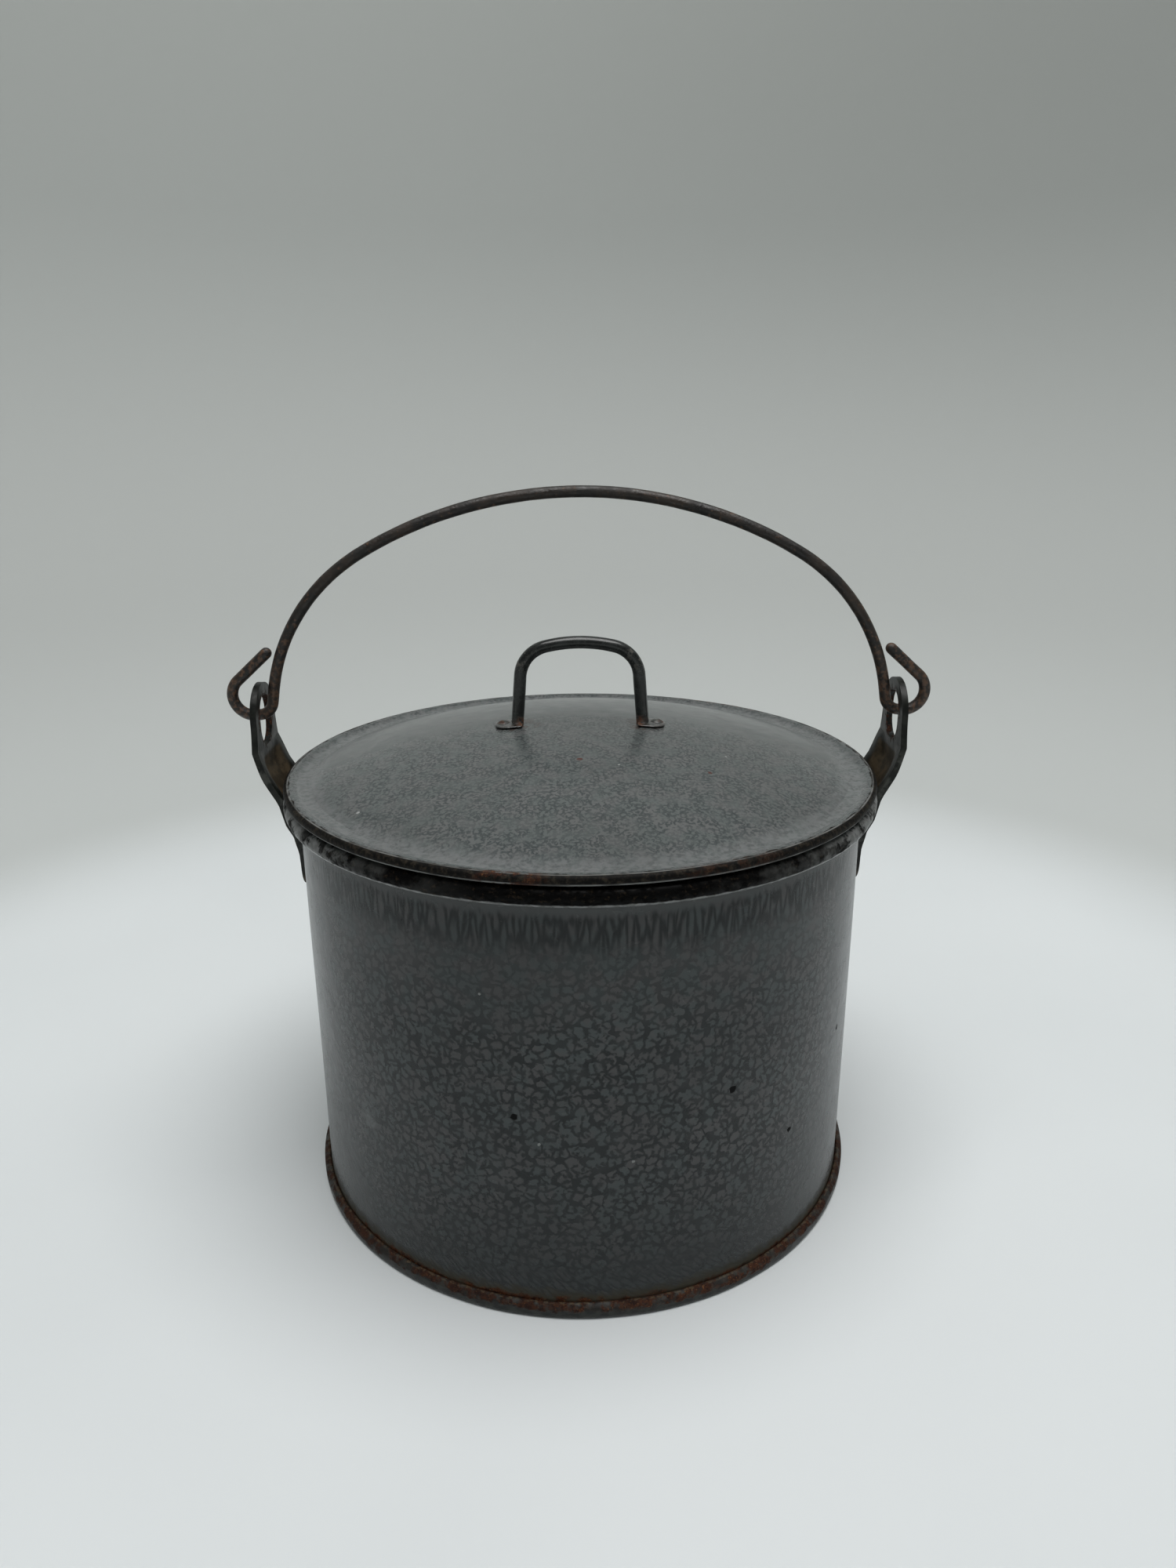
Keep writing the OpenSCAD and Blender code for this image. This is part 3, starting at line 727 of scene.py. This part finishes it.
def wall():
    """The straight wall with its rolled bead, and the flange at its foot."""
    inner = refined([(BORE_R, 2.2), (BORE_R, RIM_Z)], 3)
    bead = arc((BEAD_R, RIM_Z), BEAD_TUBE_R, range(170, -125, -9))
    tuck = [(WALL_R - 0.25, 111.95), (WALL_R, 111.5)]
    outer = refined([(WALL_R, 111.0), (WALL_R, 3.2)], 3)
    flange = [(WALL_R + 0.3, 2.75), (78.25, 2.7), (78.3, 1.7), (WALL_R, 1.65), (BORE_R + 0.3, 1.8)]
    verts, faces = lathe(inner + bead + tuck + outer + flange, TURNS, wall_uneven)
    return make("wall_shell", verts, faces, "pail", ["pot_wall"], wall_enamel())


def side_seam(material):
    """The lap of the side seam down the back, with soft edges."""
    rise = [(3.0, -0.25), (2.85, 0.25), (2.4, 0.5), (1.2, 0.58)]
    rows = [(-u, h) for u, h in rise] + [(0, 0.6)] + rise[::-1]
    levels = [SEAM_LOW, SEAM_LOW + 0.4, SEAM_LOW + 1.2] + [SEAM_LOW + 3.0 + 3 * k for k in range(33)]
    levels += [SEAM_TOP - 1.2, SEAM_TOP - 0.4, SEAM_TOP]
    verts, faces = [], []
    for i, z in enumerate(levels):
        fade = min(1, (z - SEAM_LOW) / 1.2 + 0.2, (SEAM_TOP - z) / 1.2 + 0.2)
        for u, h in rows:
            a = math.pi + u / WALL_R
            dr, _ = wall_uneven(WALL_R, z, a)
            r = WALL_R + dr + (h * fade if h > 0 else h)
            verts.append((r * math.sin(a), -r * math.cos(a), z))
    n = len(rows)
    for i in range(len(levels) - 1):
        for k in range(n - 1):
            faces.append([i * n + k, i * n + k + 1, (i + 1) * n + k + 1, (i + 1) * n + k])
    faces.append(list(range(n)))
    faces.append([(len(levels) - 1) * n + k for k in range(n)])
    return make("side_seam_lap", verts, faces, "pail", ["pot_wall"], material)


def base():
    """The base panel, set up inside the foot and folded round the wall's flange."""
    path = rounded([(0, 2.7), (75.6, 2.7), (75.6, 0.5), (78.85, 0.5), (78.85, 3.0), (77.95, 3.72)],
                   [0, 0.7, 0.7, 0.8, 0.55, 0], 0.2)

    def uneven(r, z, a):
        x, y = 60 * math.sin(a), 60 * math.cos(a)
        if r < 74:
            return 0, 0.25 * wobble(r * math.sin(a), r * math.cos(a), 0, 26, 9) * (1 - r / 74)
        return (-0.1 + 0.1 * wobble(x, y, z * 4, 12, 2), 0.12 * wobble(x, y, 0, 9, 4) - 0.08 if z > 3 else 0)

    verts, faces = lathe(sheet_section(refined(path, 2.5), 1.0), TURNS, uneven)
    return make("foot_and_panel", verts, faces, "pail", ["base_disc"], base_enamel())


def lid():
    """The domed lid, its channel over the rim and its curled edge."""
    slope = math.radians(18.6)
    mid = DOME_TOP - LID_T / 2
    tip = (DOME_R - LID_T / 2) * math.tan(slope / 2) + 0.5
    foot = tip + (mid - CURL_Z) / math.tan(slope)
    curl = CURL_R - LID_T / 2
    path = rounded([(0, mid), (tip, mid), (foot, CURL_Z), (76.9, CURL_Z), (78.6, CURL_Z + curl),
                    (EDGE_R, CURL_Z + curl)],
                   [0, DOME_R - LID_T / 2, 5, 2, 1.5, 0])
    path += arc((EDGE_R, CURL_Z), curl, range(70, -121, -10))

    def uneven(r, z, a):
        x, y = r * math.sin(a), r * math.cos(a)
        away = min(1, max(0, (r - 24) / 20))
        lift = 0.18 * wobble(x, y, 0, 32, 7) * away - 0.1 * away
        out = -0.1 + 0.1 * wobble(60 * math.sin(a), 60 * math.cos(a), 0, 18, 11) if r > 76 else 0
        return out, lift if r < 74 else 0.06 * wobble(x, y, 0, 16, 8) - 0.04

    verts, faces = lathe(sheet_section(refined(path, 2.2), LID_T), TURNS, uneven)
    return make("lid_shell", verts, faces, "lid", ["lid"], lid_enamel())


def bail():
    """The bail: one wire from hook to hook."""
    centre_z = BAIL_TOP - CROWN_R
    crown_end = (CROWN_R / 2, centre_z + CROWN_R * math.cos(math.radians(CROWN_HALF)))
    half = turtle(crown_end, math.radians(-CROWN_HALF), BAIL_LEGS)
    crown = [(CROWN_R * math.sin(math.radians(a / 2)), centre_z + CROWN_R * math.cos(math.radians(a / 2)))
             for a in range(1 - 2 * CROWN_HALF, 2 * CROWN_HALF, 2)]
    path = [(-x, z) for x, z in reversed(half)] + crown + half
    bent = []
    for x, z in path:
        # A slightly uneven hand bend in the crown, away from the hooks.
        w = max(0.0, min(1.0, (z - 150) / 25))
        bent.append((x + w * 0.25 * wobble(x, 0, z, 40, 2), z - w * (0.12 - 0.12 * wobble(x, 0, z, 28, 6))))
    verts, faces = tube(bent, BAIL_R)
    return make("bail_wire", verts, faces, "bail", ["bail"], bail_iron())


def ear(side, name, node, material):
    """A pressed ear at +X or -X: tab, slanted step with turned edges, and eye with its hole."""
    path = rounded([(TAB_R, EAR_LOW - 5), (TAB_R, TAB_LEAN_Z), (TAB_R + 0.8, STEP_LOW),
                    (EYE_R, STEP_TOP), (EYE_R, EAR_TOP + 5)],
                   [0, 3.5, 3.5, 3.5, 0], 0.4)
    path = refined(path, 0.5)

    def at(z):
        for (r0, z0), (r1, z1) in zip(path, path[1:]):
            if z0 <= z <= z1:
                t = (z - z0) / (z1 - z0)
                return r0 + (r1 - r0) * t
        return path[-1][0]

    def half_width(z):
        if z > EYE_ROUND_Z:
            return math.sqrt(max(0, EYE_HALF ** 2 - (z - EYE_ROUND_Z) ** 2))
        if z > STEP_TOP:
            return eased(STEP_HALF, EYE_HALF, (z - STEP_TOP) / (EYE_ROUND_Z - STEP_TOP))
        if z > STEP_LOW:
            return STEP_HALF
        if z > TAB_ROUND_Z:
            return eased(TAB_HALF, STEP_HALF, (z - TAB_ROUND_Z) / (STEP_LOW - TAB_ROUND_Z))
        return math.sqrt(max(0, TAB_HALF ** 2 - (z - TAB_ROUND_Z) ** 2))

    def slot(z):
        if not SLOT_LOW < z < SLOT_TOP:
            return 0.0
        past_round = max(0.0, z - (SLOT_TOP - SLOT_HALF), SLOT_LOW + SLOT_HALF - z)
        return math.sqrt(max(0, SLOT_HALF ** 2 - past_round ** 2))

    def between(low, high, n):
        return [low + (high - low) * (1 - math.cos(math.pi * i / n)) / 2 for i in range(n)]

    levels = between(EAR_LOW, 104.0, 16) + between(104.0, SLOT_LOW, 20) + between(SLOT_LOW, SLOT_TOP, 22)
    levels += between(SLOT_TOP, EAR_TOP, 8) + [EAR_TOP]
    across = 9
    verts, faces = [], []
    for hand in (-1, 1):
        start = len(verts)
        for z in levels:
            w0, w1 = slot(z), half_width(z)
            for k in range(across + 1):
                x = w0 + (w1 - w0) * k / across
                edge = min(1.0, max(0.0, (x - 4.5) / 4.8))
                turned = max(0.0, 1 - abs(z - 116.0) / 10.0)
                dish = 2.0 * edge * edge * (3 - 2 * edge) * min(1, 1.6 * turned)
                r = at(z) - dish
                a = hand * x / TAB_R
                curved = (r * math.cos(a), r * math.sin(a))
                flat = (r - 0.25, hand * x)
                t = min(1.0, max(0.0, (z - 106) / 12.0))
                out = curved[0] + (flat[0] - curved[0]) * t
                verts.append((side * out, curved[1] + (flat[1] - curved[1]) * t, z))
        n = across + 1
        for i in range(len(levels) - 1):
            for k in range(across):
                corner = start + i * n + k
                faces.append([corner, corner + 1, corner + n + 1, corner + n])
    piece = make(name, verts, faces, "pail", [node], material, 60)
    thick = piece.modifiers.new("thickness", "SOLIDIFY")
    thick.thickness = EAR_T * MM
    thick.offset = 0
    bevel = piece.modifiers.new("rounded_edges", "BEVEL")
    bevel.width = 0.4 * MM
    bevel.segments = 3
    bevel.limit_method = "ANGLE"
    bevel.angle_limit = math.radians(50)
    return piece


def swept(path, section, ring=28):
    """A bar along a path in the XZ plane. section gives half thickness, half width and squareness."""
    verts, faces = [], []
    last = len(path) - 1
    for i, p in enumerate(path):
        h = heading(path[max(i - 1, 0)], path[min(i + 1, last)])
        thick, wide, square = section(p)
        for k in range(ring):
            a = 2 * math.pi * k / ring
            c, s = math.cos(a), math.sin(a)
            y = wide * math.copysign(abs(c) ** square, c)
            t = thick * math.copysign(abs(s) ** square, s)
            verts.append((p[0] - t * math.sin(h), y, p[1] + t * math.cos(h)))
    for i in range(last):
        for k in range(ring):
            k2 = (k + 1) % ring
            faces.append([i * ring + k, i * ring + k2, (i + 1) * ring + k2, (i + 1) * ring + k])
    faces.append(list(range(ring)))
    faces.append([last * ring + k for k in range(ring)])
    return verts, faces


def lid_handle():
    """A rod bent to a flat-topped arch, with flattened feet that end round."""
    def rod(p):
        lump = 1 - 0.03 + 0.03 * wobble(p[0], 0, p[1], 5, 4)
        flare = max(0.0, min(1.0, (132.6 - p[1]) / 2.0))
        return ROD_R * lump, ROD_R * lump + 1.3 * flare * flare, 1.0

    def foot(p):
        reach = min(FOOT_OUT - abs(p[0]), abs(p[0]) - FOOT_IN)
        round_at = FOOT_HALF if abs(p[0]) > 19 else 0.7
        inset = max(0.0, 1 - reach / round_at)
        wide = FOOT_HALF - round_at + round_at * math.sqrt(max(0.001, 1 - inset * inset))
        return 0.47 * min(1.0, 0.55 + reach), wide, 0.75

    half = turtle((0.0, ARCH_TOP), 0.0, HANDLE_LEGS, 0.3)
    verts, faces = swept([(-x, z) for x, z in reversed(half)] + half[1:], rod)
    inside, run = FOOT_IN + 0.02, FOOT_OUT - FOOT_IN - 0.04
    steps = [inside + run * (1 - math.cos(math.pi * i / 30)) / 2 for i in range(31)]
    fall = (FOOT_IN_Z - FOOT_OUT_Z) / (FOOT_OUT - FOOT_IN)
    for side in (-1, 1):
        more, sides = swept([(side * x, FOOT_IN_Z - fall * (x - FOOT_IN)) for x in steps], foot)
        faces += [[len(verts) + k for k in face] for face in sides]
        verts += more
    return make("lid_handle_rod", verts, faces, "lid", ["lid_handle"], handle_enamel(), 50)


shell = wall()
side_seam(shell.data.materials[0])
base()
lid()
bail()
lid_handle()
ear_material = ear_enamel()
ear(-1, "left_pressed_ear", "left_ear", ear_material)
ear(1, "right_pressed_ear", "right_ear", ear_material)

steel = worn_steel()
for name in ("rim_wire", "left_front_rivet", "left_rear_rivet", "right_front_rivet", "right_rear_rivet",
             "left_handle_rivet", "right_handle_rivet"):
    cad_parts[name].data.materials.clear()
    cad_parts[name].data.materials.append(steel)
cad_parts["lid_collar"].data.materials.clear()
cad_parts["lid_collar"].data.materials.append(collar_enamel())


# ---------------------------------------------------------------- stage, light and camera

def paper():
    """Plain pale matt paper, with painted shade: greyer up the sweep, darker up high to the right, and darker
    on the side of the room.
    """
    g = Graph("pale_paper")
    color = g.mix(g.ramp(g.noise(g.mm, 180.0, 2.0), 0.35, 0.65), (0.755, 0.79, 0.805), (0.785, 0.82, 0.835))
    # Painted shade: the paper is painted greyer as it rises up the sweep, where the overhead light falls off.
    color = g.mix(g.ramp(g.z, 0.0, 18.0), color, (0.56, 0.585, 0.578))
    color = g.mix(g.ramp(g.z, 8.0, 110.0), color, (0.455, 0.475, 0.465))
    color = g.mix(g.ramp(g.z, 60.0, 620.0), color, (0.345, 0.365, 0.35))
    # Painted shade: the sweep is painted darker up high towards the right.
    dim = g.times(g.ramp(g.z, 60.0, 500.0), g.ramp(g.x, -300.0, 450.0, 0.0, 0.5))
    color = g.mix(dim, color, (0.19, 0.2, 0.19))
    # Painted shade: the sweep is painted dark on the camera's side, standing in for a dark room.
    room = g.times(g.ramp(g.z, 60.0, 300.0), g.ramp(g.y, -100.0, 250.0, 1.0, 0.0))
    color = g.mix(room, color, (0.13, 0.135, 0.135))
    return g.finish(color, 0.6, g.noise(g.mm, 1.2, 2.0), 0.01)


def stage():
    """A flat floor that sweeps up into a round wall, open at the top."""
    flat, curve, height, segments = 0.225, 0.34, 1.15, 96
    profile = [(0.0, 0.0), (flat * 0.5, 0.0), (flat, 0.0)]
    profile += arc((flat, curve), curve, range(-87, 1, 3))
    profile += [(flat + curve, curve + (height - curve) * i / 12) for i in range(1, 13)]
    verts, faces = [], []
    for k in range(segments):
        a = 2 * math.pi * k / segments
        verts += [(r * math.sin(a), -r * math.cos(a), z) for r, z in profile]
    n = len(profile)
    for k in range(segments):
        k2 = (k + 1) % segments
        for i in range(n - 1):
            faces.append([k * n + i, k2 * n + i, k2 * n + i + 1, k * n + i + 1])
    mesh = bpy.data.meshes.new("paper_sweep")
    mesh.from_pydata(verts, [], faces)
    bm = bmesh.new()
    bm.from_mesh(mesh)
    bmesh.ops.remove_doubles(bm, verts=bm.verts, dist=1e-6)
    for f in bm.faces:
        f.smooth = True
        f.normal_flip()
    bm.to_mesh(mesh)
    bm.free()
    sweep = bpy.data.objects.new("paper_sweep", mesh)
    bpy.context.scene.collection.objects.link(sweep)
    mesh.materials.append(paper())


def area_light(name, place, target, size, power, color):
    """A round soft light at a place, turned to a target, in metres and watts."""
    data = bpy.data.lights.new(name, "AREA")
    data.shape = "DISK"
    data.size = size
    data.energy = power
    data.color = color
    lamp = bpy.data.objects.new(name, data)
    lamp.location = place
    lamp.rotation_euler = (Vector(target) - Vector(place)).to_track_quat("-Z", "Y").to_euler()
    bpy.context.scene.collection.objects.link(lamp)


def camera():
    """The photo's viewpoint, found by fitting the pail's circles."""
    data = bpy.data.cameras.new("camera")
    data.sensor_fit = "VERTICAL"
    data.sensor_height = 36
    data.sensor_width = 27
    data.lens = 25.2
    data.clip_start = 0.01
    yaw, pitch, roll = math.radians(0.68), math.radians(18.63), math.radians(-0.32)
    ahead = Vector((math.sin(yaw) * math.cos(pitch), math.cos(yaw) * math.cos(pitch), -math.sin(pitch)))
    right = Vector((math.cos(yaw), -math.sin(yaw), 0))
    up = right.cross(ahead)
    right2 = right * math.cos(roll) + up * math.sin(roll)
    up2 = up * math.cos(roll) - right * math.sin(roll)
    pose = Matrix((right2, up2, -ahead)).transposed().to_4x4()
    pose.translation = Vector((-1.4, -293.9, 212.2)) * MM
    eye = bpy.data.objects.new("camera", data)
    eye.matrix_world = pose
    bpy.context.scene.collection.objects.link(eye)
    bpy.context.scene.camera = eye


stage()
area_light("overhead_softbox", (0.1, -0.2, 1.1), (0, 0, 0.05), 0.9, 11.0, (1.0, 0.995, 0.985))
world = bpy.data.worlds.new("room")
world.use_nodes = True
world.node_tree.nodes["Background"].inputs["Color"].default_value = (0.9, 0.95, 1.0, 1)
world.node_tree.nodes["Background"].inputs["Strength"].default_value = 0.12
bpy.context.scene.world = world
camera()
bpy.context.scene.view_settings.view_transform = "Standard"

bpy.context.view_layer.update()
